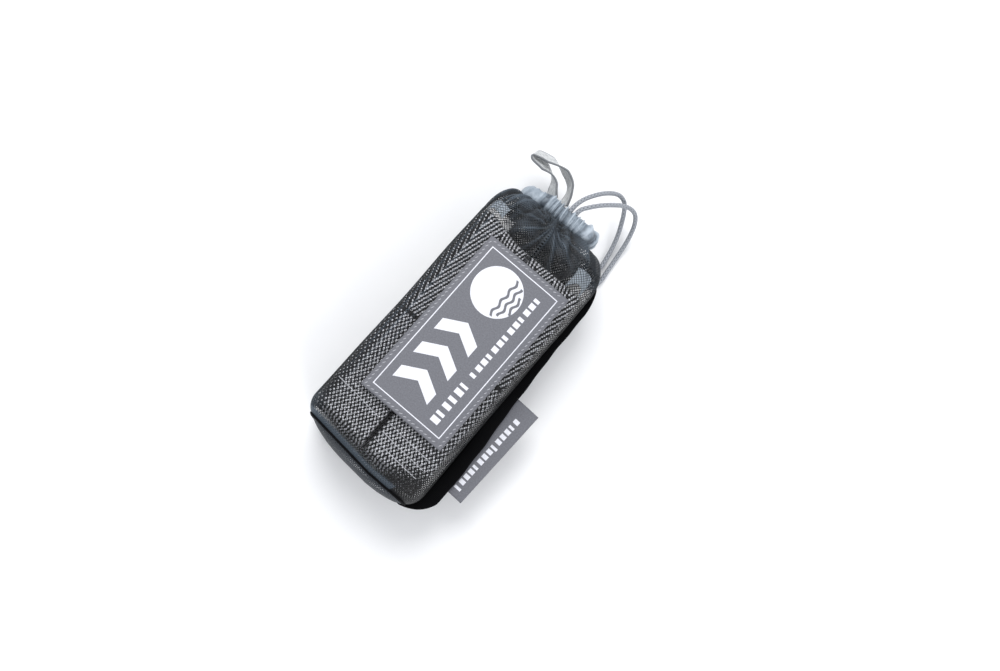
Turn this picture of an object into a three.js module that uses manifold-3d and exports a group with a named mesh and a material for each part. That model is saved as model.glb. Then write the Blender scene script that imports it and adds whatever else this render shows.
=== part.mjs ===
// Suspension straps for a camping hammock, packed in their drawstring mesh stuff sack.
//
// The sack lies on its back. +X points to the side with the bound seam, +Y to the mouth and
// +Z out of the front. The origin is the middle of the flat patch that the sack rests on.
// All sizes are in millimetres.

import * as THREE from "three";
import { mergeVertices } from "three/addons/utils/BufferGeometryUtils.js";
import Module from "manifold-3d";

const wasm = await Module();
wasm.setup();

const clearance = 0.3; // between pieces that touch

// Straps: two lengths of webbing, each folded to and fro into a flat pack.
const webbingWidth = 26;
const webbingThickness = 1.7;
const webbingGap = 0.85; // between two layers
const webbingLayers = 11;
const packLow = -60.5; // the folds nearest the base
const packLength = 107.5; // from there to the folds nearest the mouth
const packDoming = 3.4; // how much shorter the outermost layers are at each end
const packSpacing = 1.6; // between the two packs
const freeEnd = -4.5; // where the outermost layer of each strap stops

// Ropes: one under each webbing pack, wound into a long hank, with an eye at its end.
const ropeDiameter = 2.7;
const ropeTurnsWide = 2;
const ropeTurnsHigh = 3;
const ropeHankMargin = 1; // between its side and the webbing's
const ropeHankFromBase = 12.5; // from the end of the webbing pack
const ropeHankFromMouth = 7;
const ropeToWebbing = 0.6;
const eyeRadius = 5.1;
const eyeLength = 1.06; // of its width
const eyeHeight = 17;
const eyeSpacing = 3.2;

// Sack
const fabric = 0.8; // net with its bulk, as a wall
const packRoom = 0.9; // between the packed straps and the net, above and below
const packSideRoom = 1.9; // and at the sides
const hipSwell = 0.9; // extra half width near the base
const hipPlace = -45;
const hipReach = 42;
const backFlattening = 0.3; // how far the weight presses the back flat
const bodySquareness = 5; // exponent of the rounded section
const neckSquareness = 2.6;
const domeOverPack = 6.1; // of the base's dome, over the folds nearest the base
const domeLength = 14;
const domeSquareness = 3;
const seamPlace = 0.6; // of the dome, from its pole to its start
const shoulderRoom = 1; // from the folds nearest the mouth to the start of the shoulder
const shoulderLength = 17;
const shoulderSquareness = 2.2;
const backRiseLength = 23; // where the back leaves the surface, from the neck
const netRound = 56; // facets round the sack

// Drawcord channel: a flattened ring of plain cloth round the mouth, drawn shut to a slit.
const channelX = -3;
const channelLength = 8;
const channelStraight = 22; // between the centres of its two round ends
const channelBend = 5; // radius of the round ends, to the middle of the cloth roll
const channelRoll = 6.8; // thickness of the roll
const tunnelRoom = 0.5; // round the cord in its tunnel
const channelChamfer = 1.1;

// Drawcord
const cordDiameter = 2;
const cordSpacing = 2.6; // between the two strands where they leave the channel
const exitX = 0.4; // middle of the buttonhole that both strands leave by
const buttonholeRoom = 0.4;

// Cord lock: a sprung barrel that both strands pass through side by side.
// It lies under the neck.
const lockX = -1;
const lockPastNeck = 2.5; // from the neck to the strands in the lock
const lockTravel = 2.5;
const lockWall = 1.3;
const lockBore = 6.4;
const lockEdge = 0.7; // rounding of the barrel's ends
const springRoom = 4.4; // behind the plunger
const plungerHeadMargin = 0.6; // between its side and the barrel's
const plungerHeadThickness = 2.2;
const plungerHeadEdge = 0.6;
const plungerEnd = 1;
const springRelief = 1; // between the spring and the bore
const springWire = 0.55;
const springTurns = 4;

// Knot
const knotFromLock = 15.5;
const knotRadius = 2.2;
const knotTube = 1;

// Label, side tag, binding and hang loop
const labelWidth = 41;
const labelLength = 80;
const labelThickness = 0.8;
const labelX = 3;
const tagLength = 47.5;
const tagReach = 12.6;
const tagThickness = 0.8;
const tagFromMiddle = 1.2; // its mouth end, from the middle of the sack
const tagTilt = 0.035; // radians, with the seam
const tagBelowBinding = 1.2;
const bindingThickness = 1.6;
const bindingHeight = 20.3;
const bindingReach = [5.2, 6, 5.4, 4.4, 3.2, 2.6, 2.2]; // how far it stands out, from base to mouth
const bindingOverDome = 7.4; // how far it runs past the start of the dome
const bindingTaper = 7; // length over which it narrows towards the base
const bindingTip = 1.2; // length at its tip that is left off
const bindingOverShoulder = 8; // and of the shoulder
const seamTape = 0.8;
const loopTape = 0.9;
const loopTapeWidth = 8.5;
const loopTilt = 0.2; // radians that the tape leans over
const loopHeight = 19;
const loopRootGap = 1.3; // so that its legs clear the channel as it swings

// Worked out from the sizes above
const packHigh = packLow + packLength;
const domeStart = packLow + domeOverPack;
const shoulderStart = packHigh + shoulderRoom;
const neckY = shoulderStart + shoulderLength;
const backRiseStart = neckY - backRiseLength;
const layerPitch = webbingThickness + webbingGap;
const webbingStack = webbingLayers * layerPitch - webbingGap;
const ropeStack = ropeTurnsHigh * ropeDiameter;
const packDepth = ropeStack + ropeToWebbing + webbingStack;
const halfDepth = packDepth / 2 + packRoom + fabric;
const innerHalfWidth = webbingWidth + packSpacing / 2 + packSideRoom;
const halfWidth = innerHalfWidth + fabric;
const middleZ = halfDepth - backFlattening;
const topZ = middleZ + halfDepth;
const packBottom = middleZ - packDepth / 2;
const webbingBottom = packBottom + ropeStack + ropeToWebbing;
const cordRadius = cordDiameter / 2;
const strandSpread = (cordDiameter + clearance) / 2; // of each strand from the lock's middle
const lockHole = 2 * strandSpread + cordDiameter + 2 * clearance;
const lockDiameter = lockBore + 2 * lockWall;
const lockY = neckY + lockPastNeck;
const lockZ = lockDiameter / 2 + clearance;
const lockMouth = lockHole / 2 + lockWall;
const lockFloor = -(lockHole / 2 + plungerEnd + clearance + springRoom);
const lockLow = lockY + lockFloor - lockWall;
const channelHalfDepth = channelBend + channelRoll / 2;
const channelHalfWidth = channelStraight / 2 + channelHalfDepth;
const neckBottom = ((lockDiameter + 2 * clearance) * backRiseLength) / (lockLow - backRiseStart);
const channelZ = neckBottom + channelHalfDepth;
const channelY = neckY + clearance;
const mouthY = channelY + channelLength;
const cordInChannelY = channelY + channelLength / 2;
const exitZ = channelZ + channelBend;

function material(color, roughness, metalness = 0) {
  return new THREE.MeshStandardMaterial({ color, roughness, metalness });
}

function piece(name, geometry, look) {
  const mesh = new THREE.Mesh(geometry, look);
  mesh.name = name;
  return mesh;
}

// Moves every vertex of a geometry to place(vertex).
function reshaped(geometry, place) {
  const positions = geometry.getAttribute("position");
  const vertex = new THREE.Vector3();
  for (let i = 0; i < positions.count; i++) {
    vertex.fromBufferAttribute(positions, i);
    const moved = place(vertex);
    positions.setXYZ(i, moved.x, moved.y, moved.z);
  }
  geometry.computeVertexNormals();
  return geometry;
}

function solid(geometry) {
  const bare = geometry.clone();
  bare.deleteAttribute("normal");
  bare.deleteAttribute("uv");
  const merged = mergeVertices(bare);
  const vertProperties = merged.getAttribute("position").array;
  const triVerts = new Uint32Array(merged.index.array);
  return new wasm.Manifold(new wasm.Mesh({ numProp: 3, vertProperties, triVerts }));
}

function geometryOf(made) {
  const mesh = made.getMesh();
  const geometry = new THREE.BufferGeometry();
  geometry.setAttribute("position", new THREE.BufferAttribute(mesh.vertProperties, 3));
  geometry.setIndex(new THREE.BufferAttribute(mesh.triVerts, 1));
  geometry.computeVertexNormals();
  return geometry;
}

// A round cord or hole along a curve.
function tube(curve, radius, steps, sides = 8) {
  const section = new THREE.Shape();
  for (let i = 0; i < sides; i++) {
    const angle = (i / sides) * 2 * Math.PI;
    const x = radius * Math.cos(angle);
    const y = radius * Math.sin(angle);
    if (i === 0) section.moveTo(x, y);
    else section.lineTo(x, y);
  }
  section.closePath();
  return new THREE.ExtrudeGeometry(section, { steps, extrudePath: curve, bevelEnabled: false });
}

function straight(from, to) {
  return new THREE.LineCurve3(new THREE.Vector3(...from), new THREE.Vector3(...to));
}

// A flat outline with round ends, half as wide as it is long or less.
function stadium(length, width, Outline = THREE.Shape) {
  const radius = width / 2;
  const centre = length / 2 - radius;
  const outline = new Outline();
  outline.moveTo(-centre, -radius);
  outline.lineTo(centre, -radius);
  outline.absarc(centre, 0, radius, -Math.PI / 2, Math.PI / 2, false);
  outline.lineTo(-centre, radius);
  outline.absarc(-centre, 0, radius, Math.PI / 2, 1.5 * Math.PI, false);
  return outline;
}

// The sack's form at one station along it: 0 is the pole of the base, 1 the end of the dome,
// 2 the start of the shoulder and 3 the neck. offset moves the surface outwards.
function station(along, offset) {
  if (along < 1) {
    const angle = (1 - along) * (Math.PI / 2);
    const size = Math.cos(angle) ** (2 / domeSquareness);
    const out = offset * Math.cos(angle);
    return {
      y: domeStart - domeLength * Math.sin(angle) ** (2 / domeSquareness) - offset * Math.sin(angle),
      x: 0,
      halfWidth: (halfWidth + hips(domeStart)) * size + out,
      top: middleZ + halfDepth * size + out,
      bottom: middleZ - halfDepth * size - out,
      squareness: bodySquareness,
    };
  }
  if (along < 2) {
    const y = domeStart + (along - 1) * (shoulderStart - domeStart);
    return {
      y,
      x: 0,
      halfWidth: halfWidth + hips(y) + offset,
      top: topZ + offset,
      bottom: backHeight(y) - offset,
      squareness: bodySquareness,
    };
  }
  const angle = (along - 2) * (Math.PI / 2);
  const size = Math.cos(angle) ** (2 / shoulderSquareness);
  const run = Math.sin(angle) ** (2 / shoulderSquareness);
  const y = shoulderStart + shoulderLength * run + offset * Math.sin(angle);
  const out = offset * Math.cos(angle);
  return {
    y,
    x: channelX * (1 - size),
    halfWidth: channelHalfWidth + (halfWidth - channelHalfWidth) * size + out,
    top: channelZ + channelHalfDepth + (topZ - channelZ - channelHalfDepth) * size + out,
    bottom: backHeight(shoulderStart + shoulderLength * run) - offset,
    squareness: neckSquareness + (bodySquareness - neckSquareness) * size,
  };
}

function hips(y) {
  const away = Math.min(1, Math.abs(y - hipPlace) / hipReach);
  return (hipSwell * (1 + Math.cos(Math.PI * away))) / 2;
}

// The lowest line of the back: flat where the sack rests, rising to the neck.
function backHeight(y) {
  const rise = Math.max(0, (y - backRiseStart) / (neckY - backRiseStart));
  return middleZ - halfDepth + rise * (neckBottom - middleZ + halfDepth);
}

// A point of the sack's surface. around is 0 at the front, a quarter turn at the bound side.
function sackPoint(along, around, offset) {
  const s = station(along, offset);
  const power = 2 / s.squareness;
  const side = Math.sign(Math.sin(around)) * Math.abs(Math.sin(around)) ** power;
  const front = Math.sign(Math.cos(around)) * Math.abs(Math.cos(around)) ** power;
  const z = (s.top + s.bottom) / 2 + ((s.top - s.bottom) / 2) * front;
  return new THREE.Vector3(s.x + s.halfWidth * side, s.y, Math.max(z, Math.max(0, -offset)));
}

// A shell of the sack between two stations. Its lathe profile has the offset as its radius and
// the station as its height, and every vertex then moves to the sack's surface.
function sackShell(stations, inner, outer) {
  const middleRadius = 10;
  const profile = stations.map((along) => new THREE.Vector2(middleRadius + outer, along));
  for (const along of [...stations].reverse()) {
    profile.push(new THREE.Vector2(middleRadius + inner, along));
  }
  if (stations[0] > 0) profile.push(profile[0].clone());
  const turned = new THREE.LatheGeometry(profile, netRound);
  return reshaped(turned, ({ x, y, z }) => {
    const around = Math.atan2(x, z);
    return sackPoint(y, around, Math.hypot(x, z) - middleRadius);
  });
}

// The height of the front over a place on the straight stretch of the sack.
function frontHeight(x, y) {
  const width = halfWidth + hips(y);
  const bulge = (1 - Math.abs(x / width) ** bodySquareness) ** (1 / bodySquareness);
  return middleZ + halfDepth * bulge;
}

function stationsBetween(from, to, count) {
  return Array.from({ length: count + 1 }, (_, i) => from + ((to - from) * i) / count);
}

// Net body: one panel wrapped round and gathered into the neck
function meshBody() {
  const rise = 1 + (backRiseStart - domeStart) / (shoulderStart - domeStart);
  const stations = [
    ...stationsBetween(seamPlace, 1, 5),
    ...stationsBetween(1, rise, 5).slice(1),
    ...stationsBetween(2, 3, 8),
  ];
  return sackShell(stations, -fabric, 0);
}

function meshBase() {
  const edge = seamPlace - (clearance / domeLength) * 2;
  return sackShell(stationsBetween(0, edge, 5), -fabric, 0);
}

// Tape bound over the seam between the body and the base
function baseSeamTape() {
  const stations = stationsBetween(seamPlace - 0.06, seamPlace + 0.08, 2);
  return sackShell(stations, clearance, clearance + seamTape);
}

// Tape bound over the side seam: a flat fin that stands out from the side
function sideBinding() {
  const steps = 30;
  const low = domeStart - bindingOverDome;
  const length = shoulderStart + bindingOverShoulder - low;
  const outer = new THREE.SplineCurve(
    bindingReach.map((reach, i) => new THREE.Vector2(reach, i / (bindingReach.length - 1))),
  );
  const side = (y) => {
    if (y > shoulderStart) {
      const run = (y - shoulderStart) / shoulderLength;
      const size = (1 - run ** shoulderSquareness) ** (1 / shoulderSquareness);
      return channelX * (1 - size) + channelHalfWidth + (halfWidth - channelHalfWidth) * size;
    }
    if (y > domeStart) return halfWidth + hips(y);
    const run = (domeStart - y) / domeLength;
    return (halfWidth + hips(domeStart)) * (1 - run ** domeSquareness) ** (1 / domeSquareness);
  };
  const outline = new THREE.Shape();
  for (let i = 0; i <= steps; i++) {
    const y = low + (length * i) / steps;
    if (i === 0) outline.moveTo(side(y) + 2 * clearance, y);
    else outline.lineTo(side(y) + 2 * clearance, y);
  }
  for (let i = steps; i >= 0; i--) {
    const y = low + (length * i) / steps;
    const narrowed = Math.min(1, (y - low + bindingTip) / bindingTaper) ** 0.5;
    const reach = outer.getPoint(i / steps).x * narrowed;
    outline.lineTo(side(y) + reach, y);
  }
  outline.closePath();
  const fin = new THREE.ExtrudeGeometry(outline, { depth: bindingThickness, bevelEnabled: false });
  return fin.translate(0, 0, bindingHeight - bindingThickness / 2);
}

// Label, sewn flat on the front and following its bulge
function frontLabel() {
  const patch = new THREE.BoxGeometry(labelWidth, labelLength, labelThickness, 12, 8, 1);
  return reshaped(patch, ({ x, y, z }) => {
    const height = frontHeight(x + labelX, y) + clearance + labelThickness / 2;
    return new THREE.Vector3(x + labelX, y, height + z);
  });
}

function sideTag() {
  const slant = (tagLength / 2) * Math.sin(tagTilt);
  const y = -tagFromMiddle - tagLength / 2;
  const root = halfWidth + hips(y) + slant + 2 * clearance;
  const tag = new THREE.BoxGeometry(tagReach, tagLength, tagThickness);
  tag.rotateZ(-tagTilt);
  const z = bindingHeight - bindingThickness / 2 - tagBelowBinding;
  return tag.translate(root + tagReach / 2, y, z);
}

// One strap, folded to and fro. Its outline runs in the Y-Z plane, up one face of the tape and
// back down the other, and the layers are numbered from the back.
function webbingOutline() {
  const half = packDepth / 2;
  const pull = (z) => packDoming * ((z - middleZ) / half) ** 2;
  const layerZ = (layer) => webbingBottom + webbingThickness / 2 + layer * layerPitch;
  const centre = [];
  const last = webbingLayers - 1;
  centre.push([packLow + packDoming + layerPitch, layerZ(0)]);
  for (let layer = 0; layer < last; layer++) {
    const high = layer % 2 === 0;
    const middle = (layerZ(layer) + layerZ(layer + 1)) / 2;
    const reach = layerPitch / 2 + webbingThickness / 2;
    const end = high ? packHigh - pull(middle) - reach : packLow + pull(middle) + reach;
    const steps = 6;
    for (let i = 0; i <= steps; i++) {
      const angle = -Math.PI / 2 + (Math.PI * i) / steps;
      const out = (layerPitch / 2) * Math.cos(angle);
      centre.push([end + (high ? out : -out), middle + (layerPitch / 2) * Math.sin(angle)]);
    }
  }
  centre.push([freeEnd, layerZ(last)]);
  return centre;
}

function offsetLine(points, distance) {
  return points.map(([y, z], i) => {
    const [y0, z0] = points[Math.max(0, i - 1)];
    const [y1, z1] = points[Math.min(points.length - 1, i + 1)];
    const length = Math.hypot(y1 - y0, z1 - z0);
    return [y - (distance * (z1 - z0)) / length, z + (distance * (y1 - y0)) / length];
  });
}

// The flat band that a tape of this thickness makes along a line of points.
function bandShape(points, thickness) {
  const left = offsetLine(points, thickness / 2);
  const right = offsetLine(points, -thickness / 2).reverse();
  const outline = new THREE.Shape();
  [...right, ...left].forEach(([a, b], i) => {
    if (i === 0) outline.moveTo(a, b);
    else outline.lineTo(a, b);
  });
  outline.closePath();
  return outline;
}

// How much the sack's rounded sides press a pack together at a distance from the middle.
function sideSqueeze(x) {
  return (1 - Math.abs(x / innerHalfWidth) ** bodySquareness) ** (1 / bodySquareness);
}

function webbing(side) {
  const steps = 5;
  const band = new THREE.ExtrudeGeometry(bandShape(webbingOutline(), webbingThickness), {
    depth: webbingWidth,
    steps,
    bevelEnabled: false,
  });
  const start = side > 0 ? packSpacing / 2 : -packSpacing / 2 - webbingWidth;
  return reshaped(band, ({ x, y, z }) => {
    const across = start + z;
    return new THREE.Vector3(across, x, middleZ + (y - middleZ) * sideSqueeze(across));
  });
}

function ropeHank(side) {
  const low = packLow + ropeHankFromBase;
  const high = packHigh - ropeHankFromMouth;
  const width = webbingWidth - 2 * ropeHankMargin;
  const outline = stadium(high - low, width);
  const rope = ropeTurnsWide * ropeDiameter;
  outline.holes.push(stadium(high - low - 2 * rope, width - 2 * rope, THREE.Path));
  const hank = new THREE.ExtrudeGeometry(outline, {
    depth: ropeStack,
    steps: 2,
    curveSegments: 10,
    bevelEnabled: false,
  });
  const centreX = (side * (webbingWidth + packSpacing)) / 2;
  return reshaped(hank, ({ x, y, z }) => {
    const across = centreX + y;
    const height = middleZ + (packBottom + z - middleZ) * sideSqueeze(across);
    return new THREE.Vector3(across, (low + high) / 2 - x, height);
  });
}

// The eye at the end of each rope, which a hammock's clip goes through
function ropeEye(side) {
  const eye = new THREE.TorusGeometry(eyeRadius, ropeDiameter / 2, 8, 24);
  eye.scale(1, eyeLength, 1);
  const reach = eyeRadius * eyeLength + ropeDiameter / 2 + 2 * clearance;
  const spread = eyeRadius + ropeDiameter / 2 + eyeSpacing;
  return eye.translate(side * spread, packHigh + reach, eyeHeight);
}

// The middle line of the channel's roll, from one strand round to the other
class ChannelPath extends THREE.Curve {
  getPoint(t, target = new THREE.Vector3()) {
    const half = channelStraight / 2;
    const turn = Math.PI * channelBend;
    const fromExit = exitX - cordSpacing / 2 - channelX;
    const toExit = exitX + cordSpacing / 2 - channelX;
    const leftRun = fromExit + half;
    const total = leftRun + turn + channelStraight + turn + (half - toExit);
    let run = t * total;
    const at = (x, z) => target.set(channelX + x, cordInChannelY, channelZ + z);
    if (run < leftRun) return at(fromExit - run, channelBend);
    run -= leftRun;
    if (run < turn) {
      const angle = Math.PI / 2 + run / channelBend;
      return at(-half + channelBend * Math.cos(angle), channelBend * Math.sin(angle));
    }
    run -= turn;
    if (run < channelStraight) return at(-half + run, -channelBend);
    run -= channelStraight;
    if (run < turn) {
      const angle = -Math.PI / 2 + run / channelBend;
      return at(half + channelBend * Math.cos(angle), channelBend * Math.sin(angle));
    }
    return at(half - (run - turn), channelBend);
  }
}

function drawcordChannel() {
  const outline = stadium(2 * channelHalfWidth, 2 * channelHalfDepth);
  const inside = 2 * channelRoll;
  const slit = stadium(2 * channelHalfWidth - inside, 2 * channelHalfDepth - inside, THREE.Path);
  outline.holes.push(slit);
  const roll = new THREE.ExtrudeGeometry(outline, {
    depth: channelLength - 2 * channelChamfer,
    curveSegments: 12,
    bevelEnabled: true,
    bevelThickness: channelChamfer,
    bevelSize: channelChamfer,
    bevelOffset: -channelChamfer,
    bevelSegments: 2,
  });
  roll.rotateX(-Math.PI / 2);
  roll.translate(channelX, channelY + channelChamfer, channelZ);
  const tunnel = tube(new ChannelPath(), cordRadius + tunnelRoom, 48);
  let made = solid(roll).subtract(solid(tunnel));
  for (const x of strandExits()) {
    const hole = straight([x, cordInChannelY, exitZ], [x, mouthY + 1, exitZ]);
    made = made.subtract(solid(tube(hole, cordRadius + buttonholeRoom, 1, 12)));
  }
  return geometryOf(made);
}

function strandExits() {
  return [exitX - cordSpacing / 2, exitX + cordSpacing / 2];
}

function cordInChannel() {
  return tube(new ChannelPath(), cordRadius, 40);
}

// The two free strands. Each leaves the buttonhole, arcs down to the surface, turns back under
// the neck and runs through the cord lock to the knot.
const strandRoutes = [
  [
    [-0.9, 72.2, 27],
    [-0.8, 76, 26.9],
    [0.1, 80.2, 26.1],
    [1.9, 84.6, 24.5],
    [4.3, 89, 22.2],
    [7.2, 92.8, 19.4],
    [10, 94.9, 16.8],
    [13, 95, 14],
    [15.6, 92.7, 11],
    [18, 88.9, 7.6],
    [20, 84.8, 4.6],
    [21.6, 80, 2.3],
    [22.7, 74.6, 1.3],
    [23.3, 69.4, 1.1],
    [22.2, 65, 1.1],
    [18.8, 62.9, 1.1],
    [15, 64.5, 1.4],
    [12, 67.4, 3],
    [9.6, 68.5, 4.4],
    [7, 68.65, 4.8],
    [-2, 68.65, 4.8],
    [-11.9, 68.65, 4.8],
  ],
  [
    [1.7, 72.2, 27],
    [2.1, 75.8, 26.9],
    [4, 79, 26.6],
    [6.9, 83, 25.7],
    [10.6, 87.6, 23],
    [14.2, 91.7, 19],
    [17.4, 93.9, 15.6],
    [20.3, 94.2, 12.3],
    [22.6, 92, 9],
    [24.1, 88.4, 5.7],
    [25.1, 84, 3],
    [25.8, 78.6, 1.5],
    [26.6, 71, 1.1],
    [27.2, 64, 1.1],
    [25.8, 59.8, 1.1],
    [21.8, 58.2, 1.1],
    [17.2, 59.8, 1.1],
    [13.4, 63, 2.1],
    [10.6, 65.5, 3.9],
    [7.6, 66.3, 4.8],
    [-2, 66.35, 4.8],
    [-11.9, 66.35, 4.8],
  ],
];

function strand(route) {
  const curve = new THREE.CatmullRomCurve3(route.map((point) => new THREE.Vector3(...point)));
  return tube(curve, cordRadius, Math.round(curve.getLength() / (2 * cordDiameter)));
}

function endKnot() {
  const knot = new THREE.TorusKnotGeometry(knotRadius, knotTube, 48, 8, 2, 3);
  return knot.translate(lockX - knotFromLock, lockY, lockZ);
}

// Cord lock barrel: closed at the neck end, bored for the plunger, with an oval hole across it
function lockBody() {
  const profile = [
    [0, lockFloor - lockWall],
    [lockDiameter / 2 - lockEdge, lockFloor - lockWall],
    [lockDiameter / 2, lockFloor - lockWall + lockEdge],
    [lockDiameter / 2, lockMouth - lockEdge],
    [lockDiameter / 2 - lockEdge, lockMouth],
    [lockBore / 2, lockMouth],
    [lockBore / 2, lockFloor],
    [0, lockFloor],
  ];
  const barrel = lathe(profile, 28);
  const cut = solid(barrel).subtract(solid(crossHole(lockHole, 0)));
  return geometryOf(cut).translate(lockX, lockY, lockZ);
}

function lathe(profile, segments) {
  return new THREE.LatheGeometry(profile.map(([x, y]) => new THREE.Vector2(x, y)), segments);
}

// An oval hole along X, long in Y, with the height of one strand and its clearance
function crossHole(length, shift) {
  const outline = stadium(length, cordDiameter + 2 * clearance);
  const depth = 2 * lockDiameter;
  const hole = new THREE.ExtrudeGeometry(outline, { depth, curveSegments: 6, bevelEnabled: false });
  return reshaped(hole, ({ x, y, z }) => new THREE.Vector3(z - depth / 2, shift + x, y));
}

function lockPlunger() {
  const stem = lockBore / 2 - clearance;
  const head = lockDiameter / 2 - plungerHeadMargin;
  const neck = lockMouth + lockTravel + clearance;
  const profile = [
    [0, -lockHole / 2 - plungerEnd],
    [stem, -lockHole / 2 - plungerEnd],
    [stem, neck],
    [head, neck],
    [head, neck + plungerHeadThickness - plungerHeadEdge],
    [head - plungerHeadEdge, neck + plungerHeadThickness],
    [0, neck + plungerHeadThickness],
  ];
  const slot = crossHole(lockHole + lockTravel, lockTravel / 2);
  const cut = solid(lathe(profile, 24)).subtract(solid(slot));
  return geometryOf(cut).translate(lockX, lockY, lockZ);
}

class SpringPath extends THREE.Curve {
  getPoint(t, target = new THREE.Vector3()) {
    const angle = 2 * Math.PI * springTurns * t;
    const radius = lockBore / 2 - springRelief - springWire / 2;
    const from = lockY + lockFloor + clearance + springWire / 2;
    const length = springRoom - 2 * clearance - springWire;
    const x = lockX + radius * Math.cos(angle);
    return target.set(x, from + length * t, lockZ + radius * Math.sin(angle));
  }
}

function lockSpring() {
  return tube(new SpringPath(), springWire / 2, 56, 6);
}

// Hang loop: a folded tape sewn in at the back of the mouth, flopped over to one side
function hangLoop() {
  const root = mouthY + loopRootGap;
  const middle = [
    [-11.3, root],
    [-13.2, root + 2.6],
    [-14.9, root + 5.4],
    [-17.8, root + 7.4],
    [-23, root + 8.2],
    [-28.3, root + 8.9],
    [-29.2, root + 10.2],
    [-26.4, root + 11.4],
    [-20.5, root + 12.3],
    [-13.5, root + 12.3],
    [-7.7, root + 9.4],
    [-5.7, root + 5],
    [-5.6, root],
  ];
  const spline = new THREE.SplineCurve(middle.map(([x, y]) => new THREE.Vector2(x, y)));
  const points = spline.getSpacedPoints(40).map(({ x, y }) => [x, y]);
  const band = new THREE.ExtrudeGeometry(bandShape(points, loopTape), {
    depth: loopTapeWidth,
    bevelEnabled: false,
  });
  const rise = Math.cos(loopTilt);
  const lean = Math.sin(loopTilt);
  return reshaped(band, ({ x, y, z }) => {
    const across = z - loopTapeWidth / 2;
    return new THREE.Vector3(x + across * lean, y, loopHeight + across * rise);
  });
}

const net = () => material("#1b1c1f", 0.75);
const strap = () => material("#33343a", 0.85);
const rope = () => material("#8e9196", 0.8);
const nylon = () => material("#8793a1", 0.55);
const cord = () => material("#868b94", 0.7);
const tape = () => material("#0f1012", 0.6);
const woven = () => material("#6f7075", 0.8);
const plastic = () => material("#17181a", 0.45);

const [strandA, strandB] = strandRoutes;
const sack = new THREE.Group();
sack.add(
  piece("mesh_body", meshBody(), net()),
  piece("mesh_base", meshBase(), net()),
  piece("base_seam_tape", baseSeamTape(), tape()),
  piece("side_binding", sideBinding(), tape()),
  piece("front_label", frontLabel(), woven()),
  piece("drawcord_channel", drawcordChannel(), nylon()),
);

const contents = new THREE.Group();
for (const [name, side] of [["left", -1], ["right", 1]]) {
  contents.add(
    piece("webbing_" + name, webbing(side), strap()),
    piece("rope_hank_" + name, ropeHank(side), rope()),
    piece("rope_eye_" + name, ropeEye(side), rope()),
  );
}

const drawcord = new THREE.Group();
drawcord.add(
  piece("drawcord_in_channel", cordInChannel(), cord()),
  piece("drawcord_strand_a", strand(strandA), cord()),
  piece("drawcord_strand_b", strand(strandB), cord()),
  piece("drawcord_end_knot", endKnot(), cord()),
);

const cordLock = new THREE.Group();
cordLock.add(
  piece("cord_lock_body", lockBody(), plastic()),
  piece("cord_lock_plunger", lockPlunger(), plastic()),
  piece("cord_lock_spring", lockSpring(), material("#b9bcc0", 0.35, 1)),
);

const part = new THREE.Group();
part.name = "packed_suspension_straps";
part.add(
  sack,
  contents,
  drawcord,
  cordLock,
  piece("hang_loop", hangLoop(), material("#a9abab", 0.75)),
  piece("side_tag", sideTag(), woven()),
);

export default part;
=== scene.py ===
import math

import bmesh
import bpy
import numpy as np
from mathutils import Matrix, Vector


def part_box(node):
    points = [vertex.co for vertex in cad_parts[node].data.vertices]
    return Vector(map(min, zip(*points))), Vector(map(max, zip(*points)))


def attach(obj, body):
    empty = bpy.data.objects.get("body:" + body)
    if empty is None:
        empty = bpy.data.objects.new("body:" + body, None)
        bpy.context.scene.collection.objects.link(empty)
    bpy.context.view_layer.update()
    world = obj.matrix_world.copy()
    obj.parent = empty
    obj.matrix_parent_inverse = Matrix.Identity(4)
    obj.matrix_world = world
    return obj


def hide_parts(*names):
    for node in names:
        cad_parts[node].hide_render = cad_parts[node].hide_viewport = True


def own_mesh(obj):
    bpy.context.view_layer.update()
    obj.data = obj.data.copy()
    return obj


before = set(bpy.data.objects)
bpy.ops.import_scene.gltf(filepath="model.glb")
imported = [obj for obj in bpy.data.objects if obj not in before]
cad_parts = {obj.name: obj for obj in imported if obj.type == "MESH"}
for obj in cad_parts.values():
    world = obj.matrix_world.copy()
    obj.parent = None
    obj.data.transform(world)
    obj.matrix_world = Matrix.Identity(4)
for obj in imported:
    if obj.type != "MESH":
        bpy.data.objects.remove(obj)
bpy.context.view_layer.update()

# Camera: it looks down on the sack from a little below and to its right, and is turned so that
# the sack lies across the picture from lower left to upper right.
aim = Vector((0.0116, 0.0108, 0.039))
toward_camera = Vector((math.tan(math.radians(3)), -math.tan(math.radians(10)), 1)).normalized()
picture_right = Vector((0.755, 0.656, 0))
picture_right = (picture_right - toward_camera * picture_right.dot(toward_camera)).normalized()
picture_up = toward_camera.cross(picture_right)
camera = bpy.data.objects.new("camera", bpy.data.cameras.new("camera"))
camera.data.lens = 45
camera_distance = 0.5
camera.data.sensor_width = 36
turned = Matrix((picture_right, picture_up, toward_camera)).transposed().to_4x4()
camera.matrix_world = Matrix.Translation(aim + camera_distance * toward_camera) @ turned
bpy.context.scene.collection.objects.link(camera)
bpy.context.scene.camera = camera


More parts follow.
